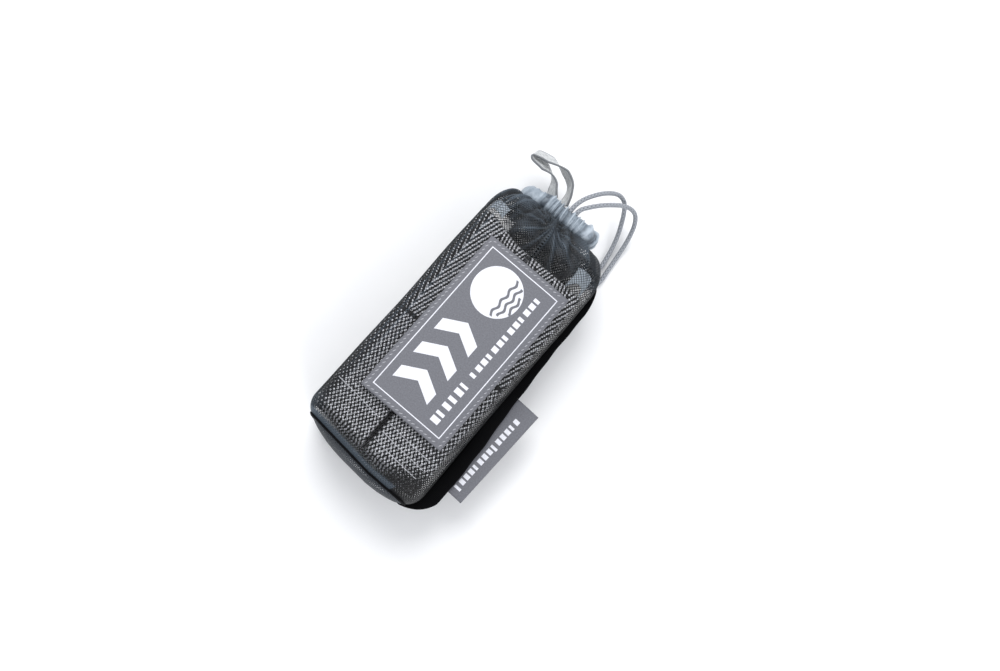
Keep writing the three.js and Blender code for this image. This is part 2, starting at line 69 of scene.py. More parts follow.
# Drawcord: one 2 mm braided cord. Its two strands leave the channel by a buttonhole, arc down to
# the surface, turn back under the neck and run through the cord lock to one knot.
def smooth_line(points, spacing):
    """A curve through the points, with a new point at every spacing."""
    p = np.array(points, float)
    knots = np.concatenate([[0], np.cumsum(np.linalg.norm(np.diff(p, axis=0), axis=1) ** 0.5)])
    step = np.diff(knots)[:, None]
    slope = np.diff(p, axis=0) / step
    inner = (slope[1:] * step[:-1] + slope[:-1] * step[1:]) / (step[1:] + step[:-1])
    tangent = np.vstack([slope[:1], inner, slope[-1:]])
    t = np.linspace(0, 1, 24, endpoint=False)[:, None]
    pieces = []
    for i in range(len(p) - 1):
        pieces.append(
            (2 * t**3 - 3 * t**2 + 1) * p[i]
            + (t**3 - 2 * t**2 + t) * step[i] * tangent[i]
            + (3 * t**2 - 2 * t**3) * p[i + 1]
            + (t**3 - t**2) * step[i] * tangent[i + 1]
        )
    return evenly(np.vstack([*pieces, p[-1:]]), spacing)


def evenly(line, spacing):
    run = np.concatenate([[0], np.cumsum(np.linalg.norm(np.diff(line, axis=0), axis=1))])
    at = np.linspace(0, run[-1], max(3, round(run[-1] / spacing) + 1))
    return np.stack([np.interp(at, run, line[:, k]) for k in range(line.shape[1])], axis=1)


def length_of(line):
    return float(np.linalg.norm(np.diff(line, axis=0), axis=1).sum())


def marked(mesh, name, values):
    """Keeps one number for each point of a mesh, for its material to read."""
    mesh.attributes.new(name, "FLOAT", "POINT").data.foreach_set("value", np.float32(values))


def formed(mesh, place):
    """Moves a flat mesh's points to where place puts them: x, y and z in mm, and, for a cloth whose
    folds show, how pale its colour is painted at each point: painted highlights on crests, painted
    shade in tucks, and its tone."""
    flat = np.zeros(len(mesh.vertices) * 3)
    mesh.vertices.foreach_get("co", flat)
    x, y, z, *painted_light_and_tone = place(flat.reshape(-1, 3))
    mesh.vertices.foreach_set("co", (np.stack([x, y, z], axis=1) * 0.001).ravel())
    if painted_light_and_tone:
        marked(mesh, "painted_light_and_tone", painted_light_and_tone[0])


def laid(name, across, along, place, uv_size=(1, 1)):
    """A grid of cloth laid on a form, by place(u, v) for u and v from 0 to 1."""
    bm = bmesh.new()
    bm.loops.layers.uv.verify()
    bmesh.ops.create_grid(bm, x_segments=across, y_segments=along, size=0.5, calc_uvs=True)
    mesh = bpy.data.meshes.new(name)
    bm.to_mesh(mesh)
    bm.free()
    formed(mesh, lambda flat: place(flat[:, 0] + 0.5, flat[:, 1] + 0.5))
    uv = np.zeros(len(mesh.loops) * 2)
    mesh.uv_layers[0].data.foreach_get("uv", uv)
    mesh.uv_layers[0].data.foreach_set("uv", (uv.reshape(-1, 2) * np.array(uv_size)).ravel())
    return shown(name, mesh)


def shown(name, mesh):
    """The finished piece: doubles merged, smooth, and in the scene."""
    bm = bmesh.new()
    bm.from_mesh(mesh)
    bmesh.ops.remove_doubles(bm, verts=bm.verts, dist=1e-6)
    bm.to_mesh(mesh)
    bm.free()
    mesh.shade_smooth()
    piece = bpy.data.objects.new(name, mesh)
    bpy.context.scene.collection.objects.link(piece)
    return piece


def thicken(piece, thickness, offset):
    """Gives a cloth its thickness: on both sides for an offset of 0, all below for -1."""
    wall = piece.modifiers.new("thickness", "SOLIDIFY")
    wall.thickness = thickness
    wall.offset = offset


def fit(piece, material, body, slot, *nodes):
    """Gives a piece its material and its CAD body, and hides the CAD nodes that it stands for. The
    slot is not used.
    """
    piece.data.materials.append(material)
    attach(piece, body)
    if nodes:
        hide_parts(*nodes)


def coat(name, material):
    """Gives a CAD node that is kept its own material."""
    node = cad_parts[name]
    node.data.materials.clear()
    node.data.materials.append(material)


def corded(name, line, radius, sides=12, closed=False):
    """A round cord along a line of points in mm. Its UV runs round it from 0 to 1, and along it
    in mm. An open cord has rounded ends."""
    line = np.array(line, float)
    tangent = np.gradient(line, axis=0)
    if closed:
        tangent[0] = tangent[-1] = line[1] - line[-2]
    tangent /= np.linalg.norm(tangent, axis=1)[:, None]
    side = np.zeros_like(line)
    start = np.cross(tangent[0], (0, 0, 1) if abs(tangent[0][2]) < 0.8 else (0, 1, 0))
    side[0] = start / np.linalg.norm(start)
    for i in range(1, len(line)):
        carried = side[i - 1] - tangent[i] * (side[i - 1] @ tangent[i])
        side[i] = carried / np.linalg.norm(carried)
    rise = np.cross(side, tangent)
    last = len(line) - 1
    ends = 0 if closed else 3
    rows = last + 2 * ends

    def place(u, v):
        row = np.round(v * rows).astype(int) - ends
        at = np.clip(row, 0, last)
        past = np.maximum(np.maximum(-row, row - last), 0) / max(ends, 1)
        thick = radius * np.cos(past * math.pi / 2)
        push = np.sign(row - at) * radius * 0.5 * np.sin(past * math.pi / 2)
        c, s = np.cos(2 * math.pi * u) * thick, np.sin(2 * math.pi * u) * thick
        p = line[at] + side[at] * c[:, None] + rise[at] * s[:, None] + tangent[at] * push[:, None]
        return p.T

    return laid(name, sides, rows, place, (1, length_of(line)))


def linear(hex_colour):
    """An sRGB hex colour as linear light."""
    parts = [int(hex_colour[i : i + 2], 16) / 255 for i in (1, 3, 5)]
    return [*(c / 12.92 if c <= 0.04045 else ((c + 0.055) / 1.055) ** 2.4 for c in parts), 1]


def add(tree, kind, inputs=None, stops=(), **settings):
    """A node with its settings, its numbers and links, and a ramp's colour stops. A node among
    the inputs is linked by its first output."""
    node = tree.nodes.new("ShaderNode" + kind)
    for name, value in settings.items():
        setattr(node, name, value)
    for name, value in (inputs or {}).items():
        if isinstance(value, bpy.types.Node):
            value = value.outputs[0]
        if isinstance(value, bpy.types.NodeSocket):
            tree.links.new(value, node.inputs[name])
        else:
            node.inputs[name].default_value = value
    for _ in stops[2:]:
        node.color_ramp.elements.new(1)
    for i, (position, hex_colour) in enumerate(stops):
        node.color_ramp.elements[i].position = position
        node.color_ramp.elements[i].color = linear(hex_colour)
    return node


def finish(name, **sockets):
    """A new material with its uniform numbers set on the shader, its tree and its shader."""
    material = bpy.data.materials.new(name)
    material.use_nodes = True
    shader = material.node_tree.nodes["Principled BSDF"]
    for socket, value in sockets.items():
        shader.inputs[socket.replace("_", " ")].default_value = value
    return material, material.node_tree, shader


def surface(tree, shader, colour, relief=None, strength=0, depth=0):
    """Links a finish's colour, and the relief of its skin, to the shader."""
    tree.links.new(colour.outputs[0], shader.inputs["Base Color"])
    if relief is not None:
        bump = add(tree, "Bump", {"Height": relief, "Strength": strength, "Distance": depth})
        tree.links.new(bump.outputs["Normal"], shader.inputs["Normal"])


def ripple(tree, place, spacing):
    """A wave across a cloth, high on each yarn. The yarns lie at the spacing."""
    phase = add(tree, "Math", {0: place, 1: 2 * math.pi / spacing}, operation="MULTIPLY")
    return add(tree, "Math", {0: phase}, operation="SINE")


def across_and_along(tree):
    """A cloth's own coordinates in mm."""
    split = add(tree, "SeparateXYZ", {"Vector": add(tree, "TexCoord").outputs["UV"]})
    return split.outputs["X"], split.outputs["Y"]


def braided(name, dark, light, strands, pitch, soften):
    """Hollow braided polyester cord: two sets of yarns cross in diamonds, pitch mm along the cord.
    The crowns of the yarns catch the light and the crossings are dark."""
    material, tree, shader = finish(name, Roughness=0.62, Sheen_Weight=0.25, Sheen_Roughness=0.5)
    across, run = across_and_along(tree)
    along = add(tree, "Math", {0: run, 1: 2 * math.pi / pitch}, operation="MULTIPLY")
    yarns = []
    for count in (strands, -strands):
        lay = {0: across, 1: math.pi * count, 2: along}
        lay = add(tree, "Math", lay, operation="MULTIPLY_ADD")
        yarns.append(add(tree, "Math", {0: lay}, operation="SINE"))
    yarns = add(tree, "Math", {0: yarns[0], 1: yarns[1], 2: 0.4}, operation="SMOOTH_MAX")
    place = add(tree, "TexCoord").outputs["Object"]
    noise = add(tree, "TexNoise", {"Vector": place, "Scale": 900, "Detail": 3})
    worn = {0: noise, 1: soften, 2: yarns}
    worn = add(tree, "Math", worn, operation="MULTIPLY_ADD")
    shade = add(tree, "MapRange", {"Value": worn, "From Min": -0.6, "From Max": 1.3})
    colour = {"Fac": shade, "Color1": linear(dark), "Color2": linear(light)}
    surface(tree, shader, add(tree, "MixRGB", colour), worn, 0.6, 0.00025)
    return material


strand_routes = {
    "drawcord_strand_a": [
        (-0.9, 72.2, 27), (-0.8, 76, 26.9), (0.1, 80.2, 26.1), (1.9, 84.6, 24.5),
        (4.3, 89, 22.2), (7.2, 92.8, 19.4), (10, 94.9, 16.8), (13, 95, 14),
        (15.6, 92.7, 11), (18, 88.9, 7.6), (20, 84.8, 4.6), (21.6, 80, 2.3),
        (22.7, 74.6, 1.3), (23.3, 69.4, 1.1), (22.2, 65, 1.1), (18.8, 62.9, 1.1),
        (15, 64.5, 1.4), (12, 67.4, 3), (9.6, 68.5, 4.4), (7, 68.65, 4.8),
        (-2, 68.65, 4.8), (-11.9, 68.65, 4.8),
    ],
    "drawcord_strand_b": [
        (1.7, 72.2, 27), (2.1, 75.8, 26.9), (4, 79, 26.6), (6.9, 83, 25.7),
        (10.6, 87.6, 23), (14.2, 91.7, 19), (17.4, 93.9, 15.6), (20.3, 94.2, 12.3),
        (22.6, 92, 9), (24.1, 88.4, 5.7), (25.1, 84, 3), (25.8, 78.6, 1.5),
        (26.6, 71, 1.1), (27.2, 64, 1.1), (25.8, 59.8, 1.1), (21.8, 58.2, 1.1),
        (17.2, 59.8, 1.1), (13.4, 63, 2.1), (10.6, 65.5, 3.9), (7.6, 66.3, 4.8),
        (-2, 66.35, 4.8), (-11.9, 66.35, 4.8),
    ],
}
cord_thickness = 2.0
grey_cord = braided("braided_grey_polyester_cord", "#63676e", "#a0a4ab", 8, 1.7, 0.5)

# The overhand knot that holds both strands together behind the lock, with its two cut tails.
turn = np.linspace(0, 4 * math.pi, 160)
trefoil = np.stack(
    [
        -16.5 + 1.1 * (2 + np.cos(1.5 * turn)) * np.cos(turn),
        67.5 + 1.1 * (2 + np.cos(1.5 * turn)) * np.sin(turn),
        4.8 + 1.1 * np.sin(1.5 * turn),
    ],
    axis=1,
)
knot = corded("drawcord_end_knot_tied", trefoil, cord_thickness / 2, closed=True)
tail_points = {
    "drawcord_tail_a": [
        (-18.2, 68.6, 4.6), (-21.4, 69.6, 4.2), (-24.6, 70.2, 2.6), (-27.6, 70, 1.2),
    ],
    "drawcord_tail_b": [
        (-18.2, 66.4, 4.6), (-21.2, 65.2, 4.2), (-23.8, 63.6, 2.4), (-26.2, 61.8, 1.2),
    ],
}
tails = [corded(name, smooth_line(points, 0.6), 0.95) for name, points in tail_points.items()]
for piece in (knot, *tails):
    fit(piece, grey_cord, "sack", "drawcord", "drawcord_end_knot")

for name, route in strand_routes.items():
    line = smooth_line(route, 0.55)
    strand = corded(name + "_braid", line, cord_thickness / 2)
    fit(strand, grey_cord, "sack", "drawcord", name)
coat("drawcord_in_channel", grey_cord)


# Cord lock: a barrel and a spring plunger of moulded black acetal. Its skin is finely spark-eroded,
# so it is matte with a soft highlight.
acetal, tree, shader = finish("moulded_black_acetal", Roughness=0.42, IOR=1.48)
place = add(tree, "TexCoord").outputs["Object"]
grit = add(tree, "TexNoise", {"Vector": place, "Scale": 4000, "Detail": 2})
flow = add(tree, "TexNoise", {"Vector": place, "Scale": 160, "Detail": 3})
tone = add(tree, "ValToRGB", {"Fac": flow}, stops=((0, "#131416"), (1, "#25262a")))
surface(tree, shader, tone, grit, 0.25, 0.00004)

for name in ("cord_lock_body", "cord_lock_plunger"):
    coat(name, acetal)

# Spring under the plunger: four turns of drawn steel wire, which the die has brushed along its
# length. In the lock it shortens as the plunger goes in; here it is a fixed coil that moves with
# the lock.
wire, tree, shader = finish("drawn_spring_steel", Roughness=0.34, Metallic=1.0)
place = add(tree, "TexCoord").outputs["Object"]
drawn = add(tree, "TexNoise", {"Vector": place, "Scale": 2500, "Detail": 3})
tone = add(tree, "ValToRGB", {"Fac": drawn}, stops=((0, "#9a9da2"), (1, "#cfd1d4")))
surface(tree, shader, tone)

spring_low, spring_high = (Vector(corner) * 1000 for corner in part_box("cord_lock_spring"))
spring_wire = 0.55
spring_turns = 4
spring_length = spring_high.y - spring_low.y
coil_radius = (spring_high.x - spring_low.x - spring_wire) / 2
wound = np.linspace(0, 1, 121)
angle = 2 * math.pi * spring_turns * wound
coil_line = np.stack(
    [
        (spring_low.x + spring_high.x) / 2 + coil_radius * np.cos(angle),
        spring_low.y + spring_wire + (spring_length - 2 * spring_wire) * wound,
        (spring_low.z + spring_high.z) / 2 + coil_radius * np.sin(angle),
    ],
    axis=1,
)
spring = corded("lock_spring_coil", coil_line, spring_wire / 2, 8)
fit(spring, wire, "cord_lock", "spring_steel", "cord_lock_spring")
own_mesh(spring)


# Sack body: one panel of black knitted net wrapped round the straps, seamed along one side and
# drawn in at the neck, where its spare width stands in pleats. The threads are real geometry.
half_width = 29.5
half_depth = 19.65
middle_z = 19.35
top_z = 39.0
dome_start = -54.4
dome_length = 14.0
shoulder_start = 48.0
shoulder_length = 17.0
back_rise_start = 42.0
neck_bottom = 13.757
neck_half_width = 19.4
neck_top = 30.557
neck_x = -3.0


def hips(y):
    """How far the filled sack swells at each side, in mm."""
    return 0.45 * (1 + np.cos(math.pi * np.minimum(1, np.abs(y + 45) / 42)))


def settled(x, y):
    """y of a point once the sack has slumped: its base runs 3.2 mm askew, up towards the left."""
    return y + 3.2 * np.clip((8 - x) / 34, 0, 1) * np.clip((-y - 35) / 25, 0, 1)


def sack_point(along, around, offset=0.0):
    """A point of the filled sack, in mm. along is 0 at the base's pole, 1 where the sides start,
    2 at the shoulder and 3 at the neck. around is 0 at the front, a quarter turn at the seam."""
    along, around, offset = np.broadcast_arrays(np.asarray(along, float), around, offset)
    dome = (1 - np.clip(along, 0, 1)) * math.pi / 2
    dome_size = np.maximum(np.cos(dome), 0) ** (2 / 3)
    dome_run = np.sin(dome) ** (2 / 3)
    neck = np.clip(along - 2, 0, 1) * math.pi / 2
    neck_size = np.maximum(np.cos(neck), 0) ** (2 / 2.2)
    neck_run = np.sin(neck) ** (2 / 2.2)
    y = dome_start + np.clip(along - 1, 0, 1) * (shoulder_start - dome_start)
    y = y - dome_length * dome_run + shoulder_length * neck_run
    rise = (y - back_rise_start) / (shoulder_start + shoulder_length - back_rise_start)
    rise = np.maximum(0, rise)
    back = middle_z - half_depth + rise * (neck_bottom - middle_z + half_depth)
    grown = offset * np.cos(dome) * np.cos(neck)
    flank = half_width + hips(np.maximum(y, dome_start))
    neck_half = neck_half_width + (half_width - neck_half_width) * neck_size
    half = np.where(along < 1, flank * dome_size, np.where(along < 2, flank, neck_half)) + grown
    dome_top = middle_z + half_depth * dome_size
    neck_front = neck_top + (top_z - neck_top) * neck_size
    top = np.where(along < 1, dome_top, np.where(along < 2, top_z, neck_front)) + grown
    bottom = np.where(along < 1, middle_z - half_depth * dome_size, back)
    bottom = bottom - np.where(along < 2, grown, offset)
    power = 2 / np.where(along < 2, 5, 2.6 + 2.4 * neck_size)
    side = np.sign(np.sin(around)) * np.abs(np.sin(around)) ** power
    front = np.sign(np.cos(around)) * np.abs(np.cos(around)) ** power
    x = neck_x * (1 - neck_size) * (along > 2) + half * side
    z = np.maximum((top + bottom) / 2 + (top - bottom) / 2 * front, np.maximum(0, -offset))
    return x, settled(x, y - offset * np.sin(dome) + offset * np.sin(neck)), z


seam_place = 0.6
net_pitch = 0.95  # between neighbouring holes
net_thread = 0.15
net_depth = 0.12
# one turn round the sack's middle from seam to seam, and one line up it from base to mouth
turns = np.linspace(-1.5 * math.pi, 0.5 * math.pi, 8001)
ring = np.stack(sack_point(1.5, turns), axis=1)
ring_run = np.concatenate([[0], np.cumsum(np.linalg.norm(np.diff(ring, axis=0), axis=1))])
stations = np.linspace(seam_place, 3, 2001)
spine = np.stack(sack_point(stations, 0.25 * math.pi), axis=1)
spine_run = np.concatenate([[0], np.cumsum(np.linalg.norm(np.diff(spine, axis=0), axis=1))])
panel = np.array([ring_run[-1], spine_run[-1]])

band_limits = (-1, 3, 8)  # mm past the shoulder
band_spare = (0.0, 0.06, 0.14, 0.2)  # towards the neck the gathers lie double, so holes are smaller
fin_corner = 71.0  # along the panel, the corner by the fin, where the seam allowances lie double


def net_grid(side):
    """A flat square of net cells, set on their points."""
    bm = bmesh.new()
    cells = round(side / net_pitch)
    bmesh.ops.create_grid(bm, x_segments=cells, y_segments=cells, size=side / 2)
    turned = Matrix.Rotation(math.radians(45), 3, "Z")
    bmesh.ops.rotate(bm, verts=bm.verts, cent=(0, 0, 0), matrix=turned)
    return bm


def knit(bm, bands):
    """Opens the cells into holes, with each band's spare half width of thread round its cells,
    and gives the threads their depth."""
    holes = bm.faces[:]
    for spare, cells in bands:
        thickness = net_thread / 2 + spare
        bmesh.ops.inset_individual(bm, faces=cells, thickness=thickness, use_even_offset=True)
    bmesh.ops.delete(bm, geom=holes, context="FACES")
    rims = [edge for edge in bm.edges if edge.is_boundary]
    walls = bmesh.ops.extrude_edge_only(bm, edges=rims)["geom"]
    lower = [v for v in walls if isinstance(v, bmesh.types.BMVert)]
    bmesh.ops.translate(bm, verts=lower, vec=(0, 0, -net_depth))
    bmesh.ops.recalc_face_normals(bm, faces=bm.faces)
    if sum(f.normal.z for f in bm.faces) < 0:
        bmesh.ops.reverse_faces(bm, faces=bm.faces)


bm = net_grid(float(panel.sum()) / math.sqrt(2))
for edge_side in (-1, 1):
    for axis, length in enumerate(panel):
        normal = Vector((0, 0, 0))
        normal[axis] = edge_side
        bmesh.ops.bisect_plane(
            bm,
            geom=bm.verts[:] + bm.edges[:] + bm.faces[:],
            plane_co=normal * float(length) / 2,
            plane_no=normal,
            clear_outer=True,
            dist=1e-4,
        )
shoulder_climb = float(np.interp(2, stations, spine_run) - panel[1] / 2)
front_centre = float(panel[0]) / 4
bands = [[] for _ in band_spare]
for hole in bm.faces:
    centre = hole.calc_center_median()
    past = centre.y - shoulder_climb
    if abs(abs(centre.x) - front_centre) > 18 and past < 10:
        past -= 9  # the corners of the shoulder stay single
    climb = centre.y + float(panel[1]) / 2
    corner = math.hypot((centre.x - fin_corner) * 0.9, climb)
    if climb < 3.4 or corner < 10:
        past = 9
    elif corner < 15.5:
        past = 5 if corner < 13 else 2
    bands[int(np.searchsorted(band_limits, past, side="right"))].append(hole)
knit(bm, zip(band_spare, bands))

net_yarn, tree, shader = finish("knitted_polyester_net", Roughness=0.5, Specular_IOR_Level=0.3)
place = add(tree, "TexCoord").outputs["Object"]
yarn = add(tree, "TexNoise", {"Vector": place, "Scale": 2600, "Detail": 3})
worn = add(tree, "TexNoise", {"Vector": place, "Scale": 55, "Detail": 4})
tone = {"Fac": worn}
tone = add(tree, "ValToRGB", tone, stops=((0.3, "#08080a"), (0.75, "#15171a")))
# painted highlights: the crests of the pleats and folds, and the patches set in wrapped, are
# painted paler
painted_light_and_tone = add(tree, "Attribute", attribute_name="painted_light_and_tone", attribute_type="GEOMETRY").outputs["Fac"]
tone = add(tree, "MixRGB", {"Fac": painted_light_and_tone, "Color1": tone, "Color2": linear("#55606b")})
surface(tree, shader, tone, yarn, 0.4, 0.00008)
fan_run = float(np.interp(0, turns, ring_run))
fan_climb = float(np.interp(2.55, stations, spine_run))


def wrapped(flat):
    """Wraps the flat panel round the sack, slack between its supports and pleated to the neck,
    with a fan of short folds below the neck and long folds down the left edge."""
    run = flat[:, 0] + panel[0] / 2
    climb = flat[:, 1] + panel[1] / 2
    around = np.interp(run, ring_run, turns)
    along = np.interp(climb, spine_run, stations)
    neck = np.clip(along - 2, 0, 1)
    at_neck = np.clip(neck * 6, 0, 1)
    lean = run + 2.2 * np.sin(climb / 9)
    pleats = np.sin(lean * 0.62) + 0.6 * np.sin(lean * 1.13 + 1.7)
    pleats = pleats + 0.45 * np.sin(lean * 0.29 + 0.6)
    slack = 0.22 * np.sin(run / 11 + climb / 17) + 0.16 * np.sin(run / 5.3 - climb / 8 + 1)
    across, below = run - fan_run, fan_climb - climb
    reach = np.hypot(across, below)
    spread = np.arctan2(across, below)
    fan = np.sin(spread * 15 + 1.3 * np.sin(spread * 4))
    fan = fan + 0.8 * np.sin(spread * 27 + 1 + 0.05 * reach)
    fan = fan * np.clip(reach / 6, 0, 1) * np.exp(-((reach / 18) ** 2))
    edge_fold = np.sin(run * 1.9) * np.exp(-(((across + 25) / 6) ** 2))
    edge_fold = edge_fold * np.clip((climb - 12) / 40, 0, 1)
    offset = 1.5 * neck**0.8 * (1 - 0.55 * neck) * (pleats - 0.4)
    offset = offset + 0.4 * fan + 0.4 * edge_fold + slack * np.clip(climb / 12, 0, 1) - 0.25
    # painted light: the crests of the pleats and folds, sheen patches below the neck, a patch near
    # the base at the front left where light shows through, and a band along the base seam are
    # painted paler
    painted_sheen_patches = np.sin(run / 3.1 + climb / 4.7) + np.sin(climb / 2.9 - run / 6.3)
    painted_light_and_tone = (0.1 + 0.16 * np.clip(painted_sheen_patches, 0, 1.5)) * at_neck + 0.2 * neck * pleats
    painted_light_and_tone = painted_light_and_tone + 0.4 * np.clip(fan, 0, 1) ** 1.3 + 0.8 * np.clip(edge_fold, 0, 1)
    painted_light_and_tone = painted_light_and_tone + 0.55 * np.exp(-(((across + 30) / 5) ** 2) - ((climb - 6) / 6) ** 2)
    painted_light_and_tone = painted_light_and_tone + 0.55 * np.clip(4.2 - climb, 0, 1) * (across < 20)
    return *sack_point(along, around, offset + flat[:, 2]), np.clip(painted_light_and_tone, 0, 0.8)


for name, low, high in (
    ("net_panel_back_right", -1.01, -0.5),
    ("net_panel_back_left", -0.5, 0),
    ("net_panel_front_left", 0, 0.5),
    ("net_panel_front_right", 0.5, 1.01),
):
    part = bm.copy()
    away = [f for f in part.faces if not low <= f.calc_center_median().x / (panel[0] / 2) < high]
    bmesh.ops.delete(part, geom=away, context="FACES")
    mesh = bpy.data.meshes.new(name)
    part.to_mesh(mesh)
    part.free()
    formed(mesh, wrapped)
    net = shown(name, mesh)
    fit(net, net_yarn, "sack", "net", "mesh_body")
bm.free()

# Base panel: a rounded rectangle of the same net, cut on the same slant. It is let in under the
# body panel, and both raw edges go into the base binding.
base_half = 33.0
base_spare = 0.13  # the threads lie over those of the seam allowance
bm = net_grid(base_half * 2 * math.sqrt(2))
base_width = half_width + float(hips(dome_start))
base_edge = 0.862


def share_of_base(x, z):
    """0 in the middle of the sack's section, 1 at its outline."""
    return (np.abs(x / base_width) ** 5 + np.abs(z / half_depth) ** 5) ** 0.2


away = [f for f in bm.faces if share_of_base(*f.calc_center_median().xy) > base_edge]
bmesh.ops.delete(bm, geom=away, context="FACES")
knit(bm, [(base_spare, bm.faces[:])])
mesh = bpy.data.meshes.new("net_base")
bm.to_mesh(mesh)
bm.free()


def bulged(flat):
    """Stands the base on the sack's end, full in the middle and a little slack."""
    x, across, lift = flat.T
    deep = np.clip(1 - share_of_base(x, across) ** 3, 0, 1) ** (1 / 3)
    sag = 0.35 * np.sin(x / 6.1) * np.cos(across / 5.2)
    y = settled(x, dome_start - dome_length * deep + 0.5 + sag * 0.5 - lift)
    # the base's net is painted a little paler all over, as painted sheen
    return x, y, middle_z + across, np.full(len(x), 0.24)


formed(mesh, bulged)
net = shown("net_base", mesh)
fit(net, net_yarn, "sack", "net", "mesh_base")


# Binding tapes: black polypropylene grosgrain, folded over the raw edges and lockstitched. One goes
# round the base seam. The other stands out from the side seam as a flat fin.
grosgrain, tree, shader = finish(
    "black_polypropylene_grosgrain", Roughness=0.85, Specular_IOR_Level=0.08
)
place = add(tree, "TexCoord").outputs["Object"]
across, along = across_and_along(tree)
rib = ripple(tree, along, 0.6)
fuzz = add(tree, "TexNoise", {"Vector": place, "Scale": 700, "Detail": 4})
worn = add(tree, "Math", {0: fuzz, 1: 1.2, 2: rib}, operation="MULTIPLY_ADD")
tone = add(tree, "ValToRGB", {"Fac": worn}, stops=((0, "#020203"), (1, "#0a0a0c")))
surface(tree, shader, tone, worn, 0.5, 0.0001)


def rounded(wave, power):
    """A sine or cosine squared off, for a section between an oval and a box."""
    return np.sign(wave) * np.abs(wave) ** power


def seam_tape(u, v):
    """u goes round the base, v round the tape's own rounded section."""
    around = np.interp(u * ring_run[-1], ring_run, turns)
    section = 2 * math.pi * v
    along = 0.59 - 0.03 * rounded(np.cos(section), 0.6)
    offset = 0.24 * rounded(np.sin(section), 0.6)
    return sack_point(along, around, offset + 0.05 * np.sin(u * 120))


tape = laid("base_seam_binding", 220, 14, seam_tape, (ring_run[-1], ring_run[-1]))
for corner in tape.data.uv_layers[0].data:  # its ribs lie across it, so its length is V
    corner.uv = corner.uv.yx
fit(tape, grosgrain, "sack", "binding_tape", "base_seam_tape")

fin_low = dome_start - 11.2
fin_high = shoulder_start + 8
fin_reach = (5.2, 6, 5.4, 4.4, 3.2, 2.6, 2.2)  # from the base to the mouth
fin_thick = 1.6
seam_z = 20.3


def side_line(y):
    """Half the sack's width at the side seam."""
    neck_run = np.clip((y - shoulder_start) / shoulder_length, 0, 1)
    neck_size = (1 - neck_run**2.2) ** (1 / 2.2)
    dome_run = np.clip((dome_start - y) / dome_length, 0, 1)
    body = (half_width + hips(np.maximum(y, dome_start))) * (1 - dome_run**3) ** (1 / 3)
    neck_half = neck_half_width + (half_width - neck_half_width) * neck_size
    return np.where(y > shoulder_start, neck_x * (1 - neck_size) + neck_half, body)


def fin(u, v):
    """u goes round the fin's section, v from the base to the mouth."""
    y = fin_low + (fin_high - fin_low) * v
    reach = np.interp(v, np.linspace(0, 1, len(fin_reach)), fin_reach)
    reach = reach + 0.12 * np.sin(y / 2.3) + 0.1 * np.sin(y / 5.1)
    reach = reach * np.clip((y - fin_low + 0.1) / 10, 0, 1) ** 0.5
    reach = reach * np.clip((fin_high - y + 0.1) / 12, 0, 1) ** 0.5
    section = 2 * math.pi * u
    taper = np.clip(np.minimum(v, 1 - v) * 60, 0, 1) ** 0.5
    inner = side_line(y) - 0.5
    half = (side_line(y) + reach - inner) / 2
    x = inner + half + half * rounded(np.cos(section), 0.45)
    wave = 0.35 * np.sin(y / 7.5) * np.clip((x - inner) / 5, 0, 1)
    return x, y, seam_z + wave + fin_thick / 2 * taper * rounded(np.sin(section), 0.7)


tape = laid("side_seam_binding", 20, 180, fin, (14, fin_high - fin_low))
fit(tape, grosgrain, "sack", "binding_tape", "side_binding")


# Straps: two 26 mm polyester webbings, each folded to and fro into a pack of eleven layers. The
# weave is a coarse herringbone of charcoal yarn with pale flecks. The sewn end is a closer weave.
web_width = 26.0
web_thick = 1.7
web_pitch = 2.55
web_layers = 11
pack_low = -60.5
pack_high = 47.0
web_end = -4.5
web_gap = 1.9  # from the left strap to the middle line
web_sewn = 60  # the closer weave at the sewn end
fold_pull = 3.4  # how much shorter the outermost folds are than the middle ones


def strap_line():
    """The strap's middle line in the Y-Z plane, from its rope end at the back to its sewn end."""
    half = 18.75
    floor = 10.1 + web_thick / 2
    line = [(pack_low + fold_pull + web_pitch, floor)]
    for layer in range(web_layers - 1):
        middle = floor + (layer + 0.5) * web_pitch
        pull = fold_pull * ((middle - middle_z) / half) ** 2
        reach = web_pitch / 2 + web_thick / 2
        high = layer % 2 == 0
        end = pack_high - pull - reach if high else pack_low + pull + reach
        for angle in np.linspace(-math.pi / 2, math.pi / 2, 9):
            out = web_pitch / 2 * math.cos(angle)
            line.append((end + (out if high else -out), middle + web_pitch / 2 * math.sin(angle)))
    line.append((web_end, floor + (web_layers - 1) * web_pitch))
    return np.array(line)


path = evenly(strap_line(), 1.0)
path_length = length_of(path)
herringbone, tree, shader = finish(
    "charcoal_herringbone_webbing", Roughness=0.72, Sheen_Weight=0.15, Sheen_Roughness=0.5
)
place = add(tree, "TexCoord").outputs["Object"]
across, along = across_and_along(tree)
wander = add(tree, "TexNoise", {"Vector": place, "Scale": 420, "Detail": 3})
# coarse weave: steep rows that turn back every 8.6 mm across the strap, with picks 1.2 mm apart
zigzag = add(tree, "Math", {0: across, 1: 4.4}, operation="SUBTRACT")
zigzag = add(tree, "Math", {0: zigzag, 1: 8.6}, operation="PINGPONG")
row = add(tree, "Math", {0: zigzag, 1: 2.9, 2: along}, operation="MULTIPLY_ADD")
row = add(tree, "Math", {0: wander, 1: 0.9, 2: row}, operation="MULTIPLY_ADD")
coarse = {0: ripple(tree, along, 1.2), 1: 0.45, 2: ripple(tree, row, 4.6)}
coarse = add(tree, "Math", coarse, operation="MULTIPLY_ADD")
